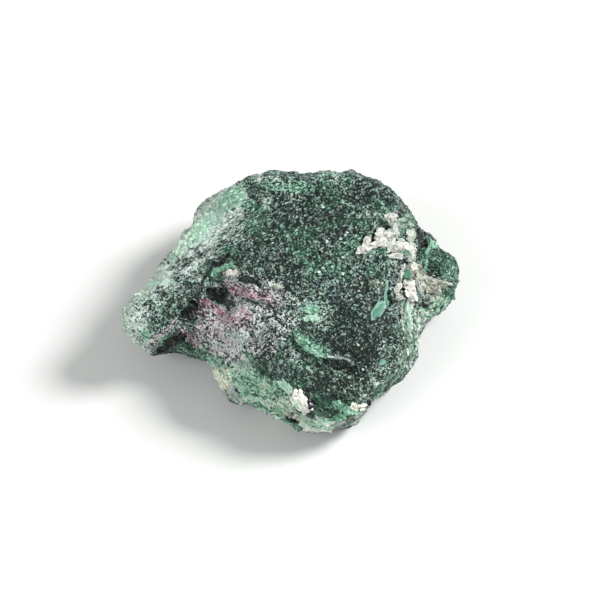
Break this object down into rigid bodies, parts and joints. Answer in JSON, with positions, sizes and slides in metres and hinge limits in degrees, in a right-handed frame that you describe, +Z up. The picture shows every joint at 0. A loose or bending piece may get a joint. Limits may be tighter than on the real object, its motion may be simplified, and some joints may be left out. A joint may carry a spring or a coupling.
{
  "type": "ruby in fuchsite rough stone",
  "caption": "Rough natural stone of dark green mica schist with a pink ruby patch, a blunt nose, a side lobe and a flaky white mica crest; it lies on a flat underside.",
  "frame": {"origin": "centre of the bounding box at the level of the flat underside that the stone lies on", "axes": "+X across the stone from its blunt nose towards its side lobe, +Y away from the front that the picture shows, +Z up"},
  "size_m": [0.0518, 0.0442, 0.0212],
  "materials": {
    "fuchsite_schist": "rough dark green mica schist, finely speckled grey and pale green, with a pink ruby patch, pale green fuchsite flakes and a white mica crest"
  },
  "bodies": {
    "root": {"stone": "fuchsite_schist"}
  },
  "joints": []
}
